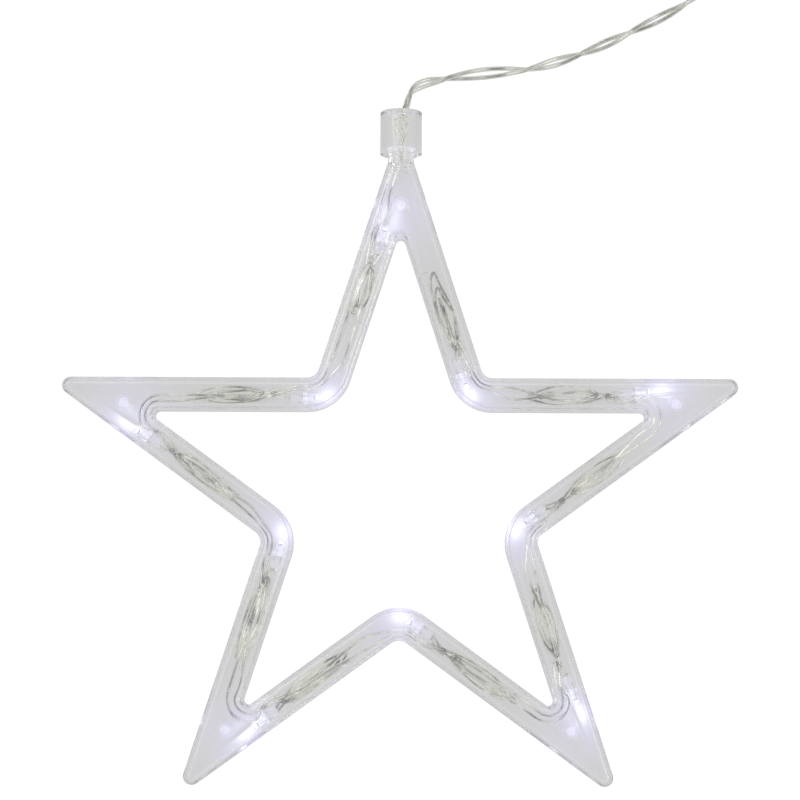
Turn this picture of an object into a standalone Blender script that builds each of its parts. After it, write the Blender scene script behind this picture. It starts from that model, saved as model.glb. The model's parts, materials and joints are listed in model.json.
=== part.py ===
"""Clear star window light: a hollow five-pointed frame in two half shells, ten lamps on a
two-wire harness, and a free twisted lead to a three-cell battery case.

The star lies on its back on z = 0 with its front face up and its neck along +Y.
All dimensions are in metres.
"""

import math

import bmesh
import bpy
from mathutils import Matrix, Vector

MM = 0.001

# Star frame
TIP_RADIUS = 112.2 * MM          # centre to a sharp, unrounded tip
BAND = 9.7 * MM                  # width of an arm, seen from the front
DEPTH = 12.7 * MM                # back face to front face
WALL = 1.2 * MM
SHOULDER = 2.4 * MM              # rounding between the faces and the side walls
TIP_ROUND = 2.6 * MM             # outline radius at the five tips
OPENING_TIP_ROUND = 1.5 * MM     # outline radius at the opening's five tips
CORNER_ROUND = 3.8 * MM          # outline radius at the five inner corners
TIP_STEPS = 4
CORNER_STEPS = 3
TOUCH = 0.3 * MM                 # gap between pieces that touch

# Neck and cap at the top tip, measured from the star's centre
NECK_START = 98.5 * MM
TIP_CUT = 99.9 * MM              # where the star's outline is as wide as the neck
NECK_END = 104.4 * MM
NECK_RADIUS = 3.95 * MM
NECK_BORE = 2.85 * MM
CAP_START = 102.9 * MM
CAP_END = 116.5 * MM
CAP_RADIUS = 6.3 * MM
CAP_SOCKET = 4.3 * MM
CAP_CHAMBER = 3.1 * MM
CAP_HOLE = 2.1 * MM
CAP_SHELF = 104.8 * MM
CAP_CEILING = 115.2 * MM
CAP_RIM = 0.8 * MM               # rounding of the cap's outer edges
KNOT_CENTRE = 112.7 * MM
KNOT_RADIUS = 2.3 * MM

# Locating pins and sockets at the tips
BOSS_PLACE = 86.8 * MM           # from the star's centre
BOSS_RADIUS = 2.6 * MM
SOCKET_RADIUS = 1.8 * MM
PIN_RADIUS = 1.45 * MM
PIN_TOP = 10.2 * MM
PIN_CHAMFER = 0.4 * MM

# Lamps
LAMP_RADIUS = 1.5 * MM
LAMP_FLANGE_RADIUS = 1.9 * MM
LAMP_LENGTH = 5.3 * MM
LAMP_FLANGE = 1.0 * MM
BOOT_RADIUS = 1.3 * MM
BOOT_LENGTH = 4.1 * MM
LAMP_FROM_TIP = 15.6 * MM        # dome to the arm's start, in the arms that start at a tip
LAMP_FROM_CORNER = 2.0 * MM      # the same in the arms that start at an inner corner
LAMP_ASIDE_TIP = -1.0 * MM       # sideways, positive towards the opening
LAMP_ASIDE_CORNER = 1.2 * MM
RIB_OFFSETS = (3.0 * MM, 6.3 * MM)
RIB_THICKNESS = 0.9 * MM
CRADLE_RADIUS = 1.8 * MM
GUIDE_PLACES = (45.2 * MM, 40.8 * MM)   # wire guide of an even and of an odd arm, along it
GUIDE_TOP = 3.0 * MM

# Harness
PAIR_RADIUS = 1.1 * MM
BUNDLE_RADIUS = 3.0 * MM
BUNDLE_FROM_TIP = (30.0 * MM, 51.0 * MM)
BUNDLE_FROM_CORNER = (19.0 * MM, 40.0 * MM)
PAIR_ASIDE = 2.3 * MM

# Free lead
LEAD_RADIUS = 1.5 * MM
COIL_CENTRE = (77.0 * MM, 165.0 * MM)
COIL_RADIUS = 18.0 * MM
COIL_HALF_WIDTH = 4.5 * MM
COIL_BOTTOM = 0.9 * MM
COIL_TOP = 7.0 * MM
TIE_RADIUS = 0.4 * MM
TIE_ANGLE = math.radians(215)

# Battery case
CASE_CENTRE = (-10.0 * MM, 167.0 * MM)
CASE_SIZE = (70.0 * MM, 52.0 * MM, 19.0 * MM)
CASE_FLOOR = 1.5 * MM
BAY_X = (-33.5 * MM, 25.0 * MM)  # the cell bay, from the case's centre
BAY_HALF_Y = 23.5 * MM
OPENING_HALF_Y = 24.5 * MM       # the cover's opening, above the grooves and between them
GROOVE_HALF_Y = 25.2 * MM
GROOVE_Z = (17.0 * MM, 18.0 * MM)
COVER_BOTTOM = 17.3 * MM
COVER_LIP_TOP = 17.7 * MM
COVER_HALF_Y = 24.2 * MM
COVER_LIP_HALF_Y = 24.9 * MM
RIDGE_START = -30.0 * MM
RIDGE_PITCH = 2.4 * MM
RIDGE_HALF_Y = 8.0 * MM
DECK_BOTTOM = 17.5 * MM
SWITCH_BAY_X = (26.2 * MM, 33.5 * MM)
SWITCH_BAY_HALF_Y = 22.0 * MM
SLOT_HALF = (1.2 * MM, 3.9 * MM)
CELL_PITCH = 15.2 * MM
CELL_HEIGHT = 9.2 * MM
SPRING_LENGTH = 6.6 * MM
SWITCH_X = 30.0 * MM
SWITCH_TRAVEL = 4.4 * MM
SWITCH_HALF = (3.0 * MM, 6.5 * MM)
SWITCH_Z = (11.5 * MM, 17.1 * MM)
SLIDER_HALF = (0.9 * MM, 1.2 * MM)
SLIDER_Z = (17.45 * MM, 20.6 * MM)
CONTACT_RADIUS = 4.4 * MM
CONTACT_HALF = 4.5 * MM
GLAND_Y = 9.0 * MM
GLAND_Z = 6.5 * MM
GLAND_LENGTH = 8.0 * MM

# Worked out from the above
HALF_TIP = math.radians(18)
CORNER_RATIO = math.sin(HALF_TIP) / math.cos(2 * HALF_TIP)  # inner corners to tips
MID_RADIUS = TIP_RADIUS - BAND / 2 / math.sin(HALF_TIP)
MID_Z = DEPTH / 2
LOWEST = (TIP_RADIUS - TIP_ROUND / math.sin(HALF_TIP)) * math.cos(2 * HALF_TIP) + TIP_ROUND
STAR_Y = (LOWEST - CAP_END) / 2

CLEAR = ("clear_plastic", (0.85, 0.86, 0.87), 0.15, 0.0)
LAMP = ("lamp_lens", (0.93, 0.94, 1.0), 0.1, 0.0)
BOOT = ("clear_boot", (0.8, 0.8, 0.76), 0.3, 0.0)
WIRE = ("clear_wire", (0.68, 0.67, 0.62), 0.3, 0.0)
WHITE = ("white_plastic", (0.86, 0.86, 0.85), 0.4, 0.0)
BLACK = ("black_plastic", (0.03, 0.03, 0.03), 0.45, 0.0)
STEEL = ("plated_steel", (0.75, 0.75, 0.76), 0.3, 1.0)
TIE = ("tie", (0.9, 0.9, 0.9), 0.5, 0.0)


# ---------------------------------------------------------------- scene and helpers

def clear_scene():
    for obj in list(bpy.data.objects):
        bpy.data.objects.remove(obj, do_unlink=True)


def new_collection(name):
    made = bpy.data.collections.new(name)
    bpy.context.scene.collection.children.link(made)
    return made


def material(finish):
    name, colour, roughness, metallic = finish
    made = bpy.data.materials.get(name)
    if made is None:
        made = bpy.data.materials.new(name)
        made.use_nodes = True
        shader = made.node_tree.nodes["Principled BSDF"]
        shader.inputs["Base Color"].default_value = (*colour, 1.0)
        shader.inputs["Roughness"].default_value = roughness
        shader.inputs["Metallic"].default_value = metallic
    return made


def add_mesh(name, mesh, finish):
    """A part from a mesh."""
    obj = bpy.data.objects.new(name, mesh)
    parts.objects.link(obj)
    obj.data.materials.clear()
    obj.data.materials.append(material(finish))
    return obj


def face_out(bm):
    """Turn every face of a closed body outwards."""
    bmesh.ops.recalc_face_normals(bm, faces=bm.faces)
    if bm.calc_volume(signed=True) < 0:
        bmesh.ops.reverse_faces(bm, faces=bm.faces)


def add_tool(name, bm):
    """A hidden solid that cuts or joins a part."""
    mesh = bpy.data.meshes.new(name)
    face_out(bm)
    bm.to_mesh(mesh)
    bm.free()
    obj = bpy.data.objects.new(name, mesh)
    tools.objects.link(obj)
    obj.hide_render = True
    obj.display_type = "WIRE"
    return obj


def boolean(obj, tool, operation):
    made = obj.modifiers.new(tool.name, "BOOLEAN")
    made.operation = operation
    made.solver = "EXACT"
    made.object = tool


def mesh_from(name, bm, smooth=False):
    mesh = bpy.data.meshes.new(name)
    face_out(bm)
    bm.to_mesh(mesh)
    bm.free()
    if smooth:
        mesh.shade_smooth()
        mesh.set_sharp_from_angle(angle=math.radians(35))
    return mesh


def add_box(bm, low, high, turn=None):
    """A box between two corners, turned about the world origin by a matrix if one is given."""
    low, high = Vector(low), Vector(high)
    size = high - low
    place = Matrix.Translation((low + high) / 2) @ Matrix.Diagonal((*size, 1.0))
    bmesh.ops.create_cube(bm, size=1.0, matrix=(turn or Matrix()) @ place)


def add_rod(bm, start, end, radius, sides=12):
    """A cylinder from one point to another."""
    start, end = Vector(start), Vector(end)
    run = end - start
    place = Matrix.Translation((start + end) / 2) @ run.to_track_quat("Z", "Y").to_matrix().to_4x4()
    bmesh.ops.create_cone(bm, cap_ends=True, segments=sides, radius1=radius, radius2=radius,
                          depth=run.length, matrix=place)


def turned(name, profile, start, direction, finish, sides=20):
    """A turned piece: (radius, distance) points, spun about a line from start."""
    bm = bmesh.new()
    rings = []
    for radius, distance in profile:
        ring = []
        for i in range(sides):
            angle = 2 * math.pi * i / sides
            ring.append(bm.verts.new((radius * math.cos(angle), radius * math.sin(angle), distance)))
        rings.append(ring)
    for this, following in zip(rings, rings[1:]):
        for i in range(sides):
            j = (i + 1) % sides
            bm.faces.new((this[i], this[j], following[j], following[i]))
    if profile[0] != profile[-1]:
        bm.faces.new(rings[0])
        bm.faces.new(rings[-1])
    else:
        bmesh.ops.remove_doubles(bm, verts=bm.verts, dist=1e-6)
    turn = Vector(direction).to_track_quat("Z", "Y").to_matrix().to_4x4()
    bm.transform(Matrix.Translation(start) @ turn)
    return add_mesh(name, mesh_from(name, bm, smooth=True), finish)


def smooth_route(points, spacing):
    """Points with a radius, (x, y, z, radius), on a smooth curve through the given ones."""
    made = []
    padded = [points[0]] + list(points) + [points[-1]]
    for before, start, end, after in zip(padded, padded[1:], padded[2:], padded[3:]):
        steps = max(1, round(math.dist(start[:3], end[:3]) / spacing))
        for i in range(steps):
            t = i / steps
            made.append([
                0.5 * (2 * b + (c - a) * t + (2 * a - 5 * b + 4 * c - d) * t * t
                       + (3 * b - a - 3 * c + d) * t ** 3)
                for a, b, c, d in zip(before, start, end, after)])
    made.append(list(points[-1]))
    return made


def tube(name, route, finish, sides_setting=1, cyclic=False):
    """A closed tube along points (x, y, z, radius)."""
    curve = bpy.data.curves.new(name, "CURVE")
    curve.dimensions = "3D"
    curve.bevel_depth = 1.0
    curve.bevel_resolution = sides_setting
    curve.use_fill_caps = not cyclic
    curve.twist_mode = "MINIMUM"
    spline = curve.splines.new("POLY")
    spline.use_cyclic_u = cyclic
    spline.points.add(len(route) - 1)
    for point, (x, y, z, radius) in zip(spline.points, route):
        point.co = (x, y, z, 1.0)
        point.radius = radius
    obj = bpy.data.objects.new(name, curve)
    parts.objects.link(obj)
    obj.data.materials.append(material(finish))
    return obj


# ---------------------------------------------------------------- star geometry

def polar(radius, degrees):
    angle = math.radians(degrees)
    return Vector((radius * math.cos(angle), radius * math.sin(angle)))


def rounded(before, corner, after, radius, steps):
    """The arc that rounds a corner."""
    to_before = (before - corner).normalized()
    to_after = (after - corner).normalized()
    half = to_before.angle(to_after) / 2
    centre = corner + (to_before + to_after).normalized() * (radius / math.sin(half))
    first = corner + to_before * (radius / math.tan(half)) - centre
    last = corner + to_after * (radius / math.tan(half)) - centre
    sweep_angle = math.pi - 2 * half
    arc = []
    for i in range(steps + 1):
        t = i / steps
        arc.append(centre + (first * math.sin((1 - t) * sweep_angle)
                             + last * math.sin(t * sweep_angle)) / math.sin(sweep_angle))
    return arc


def star_outline(inset):
    """The star's outline moved in by inset, about the star's own centre."""
    tip = TIP_RADIUS - inset / math.sin(HALF_TIP)
    corner = tip * CORNER_RATIO
    sharp = []
    for k in range(5):
        sharp.append(polar(tip, 90 + 72 * k))
        sharp.append(polar(corner, 126 + 72 * k))
    if inset < BAND / 2:
        tip_round = max(TIP_ROUND - inset, TOUCH)
    else:
        tip_round = OPENING_TIP_ROUND + BAND - inset
    outline = []
    for k, point in enumerate(sharp):
        at_tip = k % 2 == 0
        outline += rounded(
            sharp[k - 1], point, sharp[(k + 1) % 10],
            tip_round if at_tip else CORNER_ROUND + inset,
            TIP_STEPS if at_tip else CORNER_STEPS)
    return outline


def shoulder(inset_centre, radius, start_degrees, end_degrees, steps):
    """Section points round a shoulder; z counts down from the face."""
    points = []
    for i in range(steps + 1):
        angle = math.radians(start_degrees + (end_degrees - start_degrees) * i / steps)
        points.append((inset_centre + radius * math.cos(angle),
                       DEPTH - SHOULDER + radius * math.sin(angle)))
    return points


def shell_section():
    """The U section of a half shell, as (inset, height above the far face)."""
    rim = MID_Z + TOUCH / 2
    far = BAND - SHOULDER
    inner = SHOULDER - WALL
    return ([(0.0, rim)]
            + shoulder(SHOULDER, SHOULDER, 180, 90, 2)
            + shoulder(far, SHOULDER, 90, 0, 2)
            + [(BAND, rim), (BAND - WALL, rim)]
            + shoulder(far, inner, 0, 90, 1)
            + shoulder(SHOULDER, inner, 90, 180, 1)
            + [(WALL, rim)])


def arm_point(arm, along, aside, z=MID_Z):
    """A point in an arm. Even arms run from a tip to a corner, odd arms on to the next tip."""
    start_radius, end_radius = MID_RADIUS, MID_RADIUS * CORNER_RATIO
    if arm % 2:
        start_radius, end_radius = end_radius, start_radius
    start = polar(start_radius, 90 + 36 * arm)
    end = polar(end_radius, 90 + 36 * (arm + 1))
    run = (end - start).normalized()
    inward = Vector((-run.y, run.x))
    place = start + run * along + inward * aside
    return Vector((place.x, place.y + STAR_Y, z))


def lamp_place(arm):
    """Where an arm's lamp starts, and how far it sits to the side."""
    if arm % 2:
        return LAMP_FROM_CORNER, LAMP_ASIDE_CORNER
    return LAMP_FROM_TIP, LAMP_ASIDE_TIP if arm else -LAMP_ASIDE_TIP


# ---------------------------------------------------------------- star pieces

def arm_frame(arm):
    """The matrix that carries (along, aside, z) into the world."""
    origin = arm_point(arm, 0, 0, 0)
    along = arm_point(arm, 1, 0, 0) - origin
    aside = arm_point(arm, 0, 1, 0) - origin
    turn = Matrix((along, aside, Vector((0, 0, 1)))).transposed().to_4x4()
    return Matrix.Translation(origin) @ turn


def half_shell(name, is_front):
    """One half of the frame, with its half of the neck."""
    bm = bmesh.new()
    loops = []
    for inset, height in shell_section():
        z = height if is_front else DEPTH - height
        loops.append([bm.verts.new((p.x, p.y + STAR_Y, z)) for p in star_outline(inset)])
    count = len(loops[0])
    for this, following in zip(loops, loops[1:] + loops[:1]):
        for i in range(count):
            j = (i + 1) % count
            bm.faces.new((this[i], this[j], following[j], following[i]))
    shell = add_mesh(name, mesh_from(name, bm), CLEAR)

    tip_cut = bmesh.new()
    add_box(tip_cut, (-0.02, STAR_Y + TIP_CUT, -0.01), (0.02, STAR_Y + 0.14, 0.03))
    boolean(shell, add_tool(name + "_tip_cut", tip_cut), "DIFFERENCE")

    for number, (half, face) in enumerate(((3.9 * MM, 2.2 * MM), (2.6 * MM, 1.1 * MM))):
        end_wall = bmesh.new()
        add_box(end_wall, (-half, STAR_Y + NECK_START, face), (half, STAR_Y + TIP_CUT, DEPTH - face))
        boolean(shell, add_tool(f"{name}_end_wall_{number}", end_wall), "UNION")

    neck = bmesh.new()
    add_rod(neck, (0, STAR_Y + NECK_START + TOUCH, MID_Z), (0, STAR_Y + NECK_END, MID_Z),
            NECK_RADIUS, 20)
    boolean(shell, add_tool(name + "_neck", neck), "UNION")

    if is_front:
        add_sockets(shell)
    else:
        add_cradles(shell)

    bore = bmesh.new()
    add_rod(bore, (0, STAR_Y + NECK_START - 3 * MM, MID_Z), (0, STAR_Y + NECK_END + MM, MID_Z),
            NECK_BORE, 16)
    boolean(shell, add_tool(name + "_bore", bore), "DIFFERENCE")

    other_half = bmesh.new()
    if is_front:
        add_box(other_half, (-0.13, -0.13, -0.01), (0.13, 0.13, MID_Z + TOUCH / 2))
    else:
        add_box(other_half, (-0.13, -0.13, MID_Z - TOUCH / 2), (0.13, 0.13, 0.03))
    boolean(shell, add_tool(name + "_other_half", other_half), "DIFFERENCE")
    return shell


def boss_centres():
    for k in range(5):
        place = polar(BOSS_PLACE, 90 + 72 * k)
        yield place.x, place.y + STAR_Y


def add_sockets(shell):
    """Hollow bosses that hang from the front face."""
    bosses, sockets = bmesh.new(), bmesh.new()
    for x, y in boss_centres():
        add_rod(bosses, (x, y, MID_Z), (x, y, DEPTH - WALL / 2), BOSS_RADIUS, 16)
        add_rod(sockets, (x, y, 0), (x, y, PIN_TOP + TOUCH), SOCKET_RADIUS, 14)
    boolean(shell, add_tool("front_bosses", bosses), "UNION")
    boolean(shell, add_tool("front_sockets", sockets), "DIFFERENCE")


def add_cradles(shell):
    """Base bosses, two notched ribs for each lamp, and each arm's wire guide."""
    bosses, ribs, cradles = bmesh.new(), bmesh.new(), bmesh.new()
    for x, y in boss_centres():
        add_rod(bosses, (x, y, WALL / 2), (x, y, MID_Z - TOUCH), BOSS_RADIUS, 16)
    for arm in range(10):
        start, aside = lamp_place(arm)
        frame = arm_frame(arm)
        wall = BAND / 2 - WALL + TOUCH
        near, far = (aside - 1.9 * MM, wall) if aside > 0 else (-wall, aside + 1.9 * MM)
        for offset in RIB_OFFSETS:
            middle = start + offset
            add_box(ribs, (middle - RIB_THICKNESS / 2, near, WALL / 2),
                    (middle + RIB_THICKNESS / 2, far, MID_Z - TOUCH), frame)
        add_rod(cradles, frame @ Vector((start + MM, aside, MID_Z)),
                frame @ Vector((start + 9 * MM, aside, MID_Z)), CRADLE_RADIUS + TOUCH / 2, 10)
        guide = GUIDE_PLACES[arm % 2]
        add_box(ribs, (guide - RIB_THICKNESS / 2, 0.9 * MM, WALL / 2),
                (guide + RIB_THICKNESS / 2, wall, GUIDE_TOP), frame)
    boolean(shell, add_tool("back_bosses", bosses), "UNION")
    boolean(shell, add_tool("back_ribs", ribs), "UNION")
    boolean(shell, add_tool("back_cradles", cradles), "DIFFERENCE")


def locating_pins():
    """The pins that stand on the back bosses and enter the front sockets."""
    for number, (x, y) in enumerate(boss_centres(), 1):
        name = f"locating_pin_{number:02d}"
        top = PIN_TOP - MID_Z
        profile = [(PIN_RADIUS, 0), (PIN_RADIUS, top - PIN_CHAMFER), (PIN_RADIUS - PIN_CHAMFER, top)]
        turned(name, profile, (x, y, MID_Z), (0, 0, 1), CLEAR, 12)


def neck_cap():
    end, shelf, ceiling = (value - CAP_START for value in (CAP_END, CAP_SHELF, CAP_CEILING))
    inner = CAP_RADIUS - CAP_RIM
    profile = [
        (inner, 0), (CAP_RADIUS, CAP_RIM), (CAP_RADIUS, end - CAP_RIM), (inner, end),
        (CAP_HOLE, end), (CAP_HOLE, ceiling), (CAP_CHAMBER, ceiling), (CAP_CHAMBER, shelf),
        (CAP_SOCKET, shelf), (CAP_SOCKET, 0), (inner, 0)]
    turned("neck_cap", profile, (0, STAR_Y + CAP_START, MID_Z), (0, 1, 0), CLEAR, 24)


def cord_knot():
    """The knot that keeps the lead from pulling out of the cap."""
    profile = []
    for i in range(7):
        angle = math.radians(15 + 25 * i)
        profile.append((KNOT_RADIUS * math.sin(angle), -KNOT_RADIUS * math.cos(angle)))
    turned("cord_knot", profile, (0, STAR_Y + KNOT_CENTRE, MID_Z), (0, 1, 0), WIRE, 12)


def lamps():
    """Ten domed lamps, each with a moulded boot over its leads, pointing at the arm's start."""
    for arm in range(10):
        start, aside = lamp_place(arm)
        rear = arm_point(arm, start + LAMP_LENGTH, aside)
        forward = arm_point(arm, start, aside) - rear
        body = LAMP_LENGTH - LAMP_RADIUS
        profile = [(LAMP_FLANGE_RADIUS, 0), (LAMP_FLANGE_RADIUS, LAMP_FLANGE),
                   (LAMP_RADIUS, LAMP_FLANGE)]
        for degrees in (0, 35, 65):
            angle = math.radians(degrees)
            profile.append((LAMP_RADIUS * math.cos(angle), body + LAMP_RADIUS * math.sin(angle)))
        turned(f"lamp_{arm + 1:02d}", profile, rear, forward, LAMP, 10)
        boot_end = arm_point(arm, start + LAMP_LENGTH + TOUCH + BOOT_LENGTH, aside)
        turned(f"lamp_boot_{arm + 1:02d}",
               [(BOOT_RADIUS * 0.8, 0), (BOOT_RADIUS, 0.5 * MM), (BOOT_RADIUS, BOOT_LENGTH)],
               boot_end, forward, BOOT, 8)


# ---------------------------------------------------------------- harness

def boot_rear(arm):
    return lamp_place(arm)[0] + LAMP_LENGTH + TOUCH + BOOT_LENGTH


def bundle_run(arm):
    """The stretch from a lamp's boot through the folded slack of its arm."""
    first, last = BUNDLE_FROM_CORNER if arm % 2 else BUNDLE_FROM_TIP
    ramp = 2.0 * MM
    return [
        (*arm_point(arm, boot_rear(arm) + 0.8 * MM, -0.3 * MM), PAIR_RADIUS),
        (*arm_point(arm, first - ramp / 2, 0), PAIR_RADIUS),
        (*arm_point(arm, first + ramp, 0), BUNDLE_RADIUS),
        (*arm_point(arm, (first + last) / 2, 0), BUNDLE_RADIUS),
        (*arm_point(arm, last - ramp, 0), BUNDLE_RADIUS),
        (*arm_point(arm, last + ramp / 2, 0), PAIR_RADIUS)]


def round_corner(arm):
    """Past an inner corner, beside the outer wall, and past the next lamp."""
    centre_angle = 90 + 36 * (arm + 1)
    outline_corner = TIP_RADIUS * CORNER_RATIO + CORNER_ROUND / math.cos(2 * HALF_TIP)
    centre = polar(outline_corner, centre_angle)
    radius = CORNER_ROUND + BAND / 2 - PAIR_ASIDE
    route = [(*arm_point(arm, 60 * MM, -PAIR_ASIDE), PAIR_RADIUS)]
    for turn in (-30, 0, 30):
        place = centre + polar(radius, centre_angle + 180 - turn)
        route.append((place.x, place.y + STAR_Y, MID_Z, PAIR_RADIUS))
    route.append((*arm_point(arm + 1, 7 * MM, -PAIR_ASIDE), PAIR_RADIUS))
    route.append((*arm_point(arm + 1, boot_rear(arm + 1), -PAIR_ASIDE), PAIR_RADIUS))
    return route


def round_opening_tip(arm):
    """Past a tip, close round the tip of the opening, and past the next lamp."""
    axis = 90 + 36 * (arm + 1)
    opening_tip = TIP_RADIUS - BAND / math.sin(HALF_TIP)
    centre = polar(opening_tip - OPENING_TIP_ROUND / math.sin(HALF_TIP), axis)
    radius = OPENING_TIP_ROUND + BAND / 2 - PAIR_ASIDE
    route = [(*arm_point(arm, 44.5 * MM, PAIR_ASIDE), PAIR_RADIUS)]
    for turn in (-55, -20, 20, 55):
        place = centre + polar(radius, axis + turn)
        route.append((place.x, place.y + STAR_Y, MID_Z, PAIR_RADIUS))
    route.append((*arm_point(arm + 1, boot_rear(arm + 1), PAIR_ASIDE), PAIR_RADIUS))
    return route


def harness():
    """Eleven lengths of the two-wire harness; the slack of each arm is a fat stretch."""
    first_arm = 0
    entry = [(0, 110.0), (0, 101.5), (1.4, 96.0), (4.3, 89.5)]
    route = [(-x * MM, STAR_Y + y * MM, MID_Z, PAIR_RADIUS) for x, y in entry]
    route.append((*arm_point(first_arm, 16 * MM, -PAIR_ASIDE - TOUCH / 3), PAIR_RADIUS))
    route.append((*arm_point(first_arm, boot_rear(first_arm), -PAIR_ASIDE), PAIR_RADIUS))
    spacing = 5 * MM
    tube("wire_run_00", smooth_route(route, spacing), WIRE)
    for arm in range(9):
        onward = round_opening_tip(arm) if arm % 2 else round_corner(arm)
        tube(f"wire_run_{arm + 1:02d}", smooth_route(bundle_run(arm) + onward, spacing), WIRE)
    last_arm = 9
    tube("wire_run_10", smooth_route(bundle_run(last_arm)[:-1], spacing), WIRE)


# ---------------------------------------------------------------- free lead

def lead():
    """The lead from the cap to the coil, the coil, its tie, and the tail to the battery case."""
    exit_y = STAR_Y + CAP_END
    out = [(0, exit_y / MM - 1.2, 6.35), (0, exit_y / MM, 6.35), (1.3, 103.4, 5.9),
           (2.2, 106.5, 4.7), (3.2, 108.7, 3.5), (5.2, 110.4, 2.5), (7.8, 111.6, 1.8),
           (10.9, 112.3, 1.55), (14.9, 113.1, 1.55), (27.1, 114.7, 1.55), (39.4, 116.0, 1.55),
           (48.5, 118.5, 1.55), (56.5, 121.3, 1.55), (63.9, 124.5, 1.55), (70.9, 127.9, 1.55),
           (79.2, 132.0, 1.55), (85.4, 135.5, 1.55), (90.0, 138.8, 1.6), (93.4, 142.8, 1.9),
           (95.0, 148.3, 2.2)]
    back = [(60.0, 183.6, 2.4), (54, 183.4, 2.4), (48.6, 181.5, 2.7), (43.5, 178.6, 3.8),
            (38.5, 176.4, 5.6), (33.4, 176, 6.5)]
    for name, route in (("cord_lead", out), ("cord_tail", back)):
        points = [(x * MM, y * MM, z * MM, LEAD_RADIUS) for x, y, z in route]
        tube(name, smooth_route(points, 5 * MM), WIRE, 2)

    inner, outer = COIL_RADIUS - COIL_HALF_WIDTH, COIL_RADIUS + COIL_HALF_WIDTH
    chamfer = 1.2 * MM
    profile = [(inner, COIL_BOTTOM + chamfer), (inner + chamfer, COIL_BOTTOM),
               (outer - chamfer, COIL_BOTTOM), (outer, COIL_BOTTOM + chamfer),
               (outer, COIL_TOP - chamfer), (outer - chamfer, COIL_TOP),
               (inner + chamfer, COIL_TOP), (inner, COIL_TOP - chamfer),
               (inner, COIL_BOTTOM + chamfer)]
    turned("cord_coil", profile, (*COIL_CENTRE, 0), (0, 0, 1), WIRE, 32)

    centre = Vector((*COIL_CENTRE, 0))
    across = Vector((math.cos(TIE_ANGLE), math.sin(TIE_ANGLE), 0))
    gap = TOUCH + TIE_RADIUS
    left, right = inner - gap, outer + gap
    low, high = TIE_RADIUS + 0.05 * MM, COIL_TOP + gap
    corner = 1.0 * MM
    loop = [(left, low + corner), (left + corner, low), (right - corner, low), (right, low + corner),
            (right, high - corner), (right - corner, high), (left + corner, high),
            (left, high - corner)]
    route = [(*(centre + across * r + Vector((0, 0, z))), TIE_RADIUS) for r, z in loop]
    tube("cord_tie", route, TIE, 1, cyclic=True)


# ---------------------------------------------------------------- battery case

def case_point(x, y, z):
    return (CASE_CENTRE[0] + x, CASE_CENTRE[1] + y, z)


def cut_boxes(obj, boxes):
    for number, (low, high) in enumerate(boxes):
        bm = bmesh.new()
        add_box(bm, case_point(*low), case_point(*high))
        boolean(obj, add_tool(f"{obj.name}_cut_{number}", bm), "DIFFERENCE")


def battery_case():
    """An open tub with cover grooves, a cell bay, a switch bay and a slotted deck."""
    half_x, half_y, top = CASE_SIZE[0] / 2, CASE_SIZE[1] / 2, CASE_SIZE[2]
    over = MM
    bm = bmesh.new()
    add_box(bm, case_point(-half_x, -half_y, 0), case_point(half_x, half_y, top))
    upright = [edge for edge in bm.edges
               if abs(edge.verts[0].co.z - edge.verts[1].co.z) > top / 2]
    bmesh.ops.bevel(bm, geom=upright, offset=2.5 * MM, segments=3, affect="EDGES", profile=0.5)
    case = add_mesh("battery_case", mesh_from("battery_case", bm), WHITE)
    wire_notch = ((BAY_X[1] - over, -SWITCH_BAY_HALF_Y, 3 * MM),
                  (SWITCH_BAY_X[0] + over, -18 * MM, 8 * MM))
    cut_boxes(case, [
        ((BAY_X[0], -BAY_HALF_Y, CASE_FLOOR), (BAY_X[1], BAY_HALF_Y, top + over)),
        ((-half_x - over, -OPENING_HALF_Y, GROOVE_Z[0]), (BAY_X[1], OPENING_HALF_Y, top + over)),
        ((-half_x - over, -GROOVE_HALF_Y, GROOVE_Z[0]), (BAY_X[1], GROOVE_HALF_Y, GROOVE_Z[1])),
        ((SWITCH_BAY_X[0], -SWITCH_BAY_HALF_Y, CASE_FLOOR),
         (SWITCH_BAY_X[1], SWITCH_BAY_HALF_Y, DECK_BOTTOM)),
        ((SWITCH_X - SLOT_HALF[0], -SLOT_HALF[1], DECK_BOTTOM - over),
         (SWITCH_X + SLOT_HALF[0], SLOT_HALF[1], top + over)),
        wire_notch])
    hole = bmesh.new()
    add_rod(hole, case_point(33 * MM, GLAND_Y, GLAND_Z), case_point(36 * MM, GLAND_Y, GLAND_Z),
            2.6 * MM, 12)
    boolean(case, add_tool("gland_hole", hole), "DIFFERENCE")


def battery_cover():
    """A plate that slides in the case's grooves, with a ridged thumb grip."""
    half_x, top = CASE_SIZE[0] / 2, CASE_SIZE[2]
    end = BAY_X[1] - TOUCH
    bm = bmesh.new()
    add_box(bm, case_point(-half_x, -COVER_HALF_Y, COVER_BOTTOM),
            case_point(end, COVER_HALF_Y, top))
    cover = add_mesh("battery_cover", mesh_from("battery_cover", bm), WHITE)
    lips = bmesh.new()
    add_box(lips, case_point(-half_x, -COVER_LIP_HALF_Y, COVER_BOTTOM),
            case_point(end, COVER_LIP_HALF_Y, COVER_LIP_TOP))
    boolean(cover, add_tool("cover_lips", lips), "UNION")
    ridges = bmesh.new()
    for number in range(5):
        x = RIDGE_START + RIDGE_PITCH * number
        add_box(ridges, case_point(x, -RIDGE_HALF_Y, top - 0.4 * MM),
                case_point(x + MM, RIDGE_HALF_Y, top + 0.5 * MM))
    boolean(cover, add_tool("cover_ridges", ridges), "UNION")


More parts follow.
